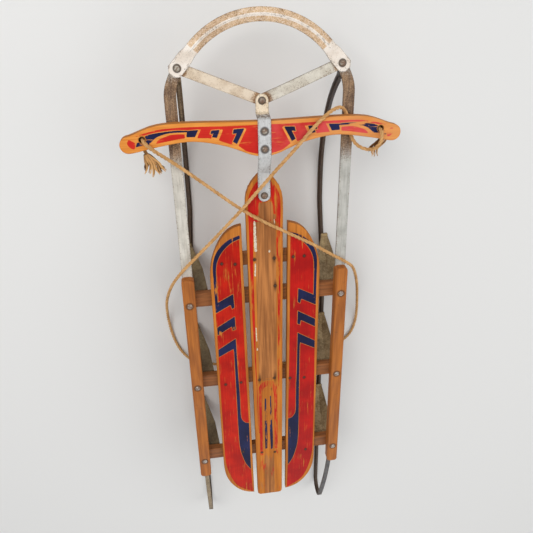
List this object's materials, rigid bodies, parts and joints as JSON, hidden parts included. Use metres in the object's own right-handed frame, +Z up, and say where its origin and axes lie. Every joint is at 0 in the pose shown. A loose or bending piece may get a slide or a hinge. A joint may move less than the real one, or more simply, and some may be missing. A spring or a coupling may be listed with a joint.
{
  "type": "steerable runner sled",
  "caption": "Child's wooden slatted sled on steel runners, with a steel front bow, a pivoting wooden steering crossbar and a pull rope.",
  "frame": {"origin": "on the floor, under the middle of the sled's length and width", "axes": "+Y towards the front bow, +X to the rider's right, +Z up"},
  "size_m": [0.474, 1.224, 0.1738],
  "materials": {
    "bench_wood": "worn varnish",
    "rail_wood": "honey varnish, worn",
    "side_slat_paint": "worn red paint with dark blue stripes and varnished edges",
    "centre_slat_paint": "red paint worn to bare wood",
    "crossbar_paint": "worn red paint with dark blue stripes and varnished edges",
    "knee_paint": "weathered olive cream paint",
    "runner_steel": "dark worn steel",
    "bow_paint": "cream paint with rust",
    "bar_paint": "whitish paint with rust",
    "brace_paint": "grey white paint with rust",
    "strap_paint": "grey white paint, worn",
    "bolt_steel": "plated, dulled",
    "rope_fibre": "twisted natural fibre"
  },
  "bodies": {
    "frame": {"bench_front": "bench_wood", "bench_middle": "bench_wood", "bench_rear": "bench_wood", "front_cleat": "bench_wood", "side_rail_left": "rail_wood", "side_rail_right": "rail_wood", "slat_left": "side_slat_paint", "slat_right": "side_slat_paint", "slat_centre": "centre_slat_paint", "knee_front_left": "knee_paint", "knee_front_right": "knee_paint", "knee_middle_left": "knee_paint", "knee_middle_right": "knee_paint", "knee_rear_left": "knee_paint", "knee_rear_right": "knee_paint", "runner_left": "runner_steel", "runner_right": "runner_steel", "brace_left": "brace_paint", "brace_right": "brace_paint", "rail_bolt_front_left": "bolt_steel", "rail_bolt_front_right": "bolt_steel", "rail_bolt_middle_left": "bolt_steel", "rail_bolt_middle_right": "bolt_steel", "rail_bolt_rear_left": "bolt_steel", "rail_bolt_rear_right": "bolt_steel", "deck_pivot_bolt": "bolt_steel", "deck_washer": "bolt_steel", "pull_rope": "rope_fibre"},
    "steering": {"crossbar": "crossbar_paint", "steering_strap": "strap_paint", "rivet_front": "bolt_steel", "rivet_rear": "bolt_steel", "bow_pivot_bolt": "bolt_steel", "rope_end_left": "rope_fibre", "rope_end_right": "rope_fibre"},
    "bow_gear": {"bow": "bow_paint", "ybar_left": "bar_paint", "ybar_right": "bar_paint", "bow_bolt_left": "bolt_steel", "bow_bolt_right": "bolt_steel"}
  },
  "joints": [
    {"name": "steering_turn", "type": "hinge", "parent": "frame", "child": "steering", "pos_m": [0, 0.309, 0.145], "axis": [0, 0, 1], "range_deg": [-8, 8], "stiffness_Nm_per_rad": 15, "deforming": ["pull_rope"]},
    {"name": "bow_shift", "type": "slide", "parent": "frame", "child": "bow_gear", "axis": [1, 0, 0], "range_m": [-0.023, 0.023], "deforming": ["runner_left", "runner_right", "brace_left", "brace_right"]}
  ],
  "couplings": [
    {"joint": "bow_shift", "follows": "steering_turn", "m_per_rad": -0.163}
  ]
}
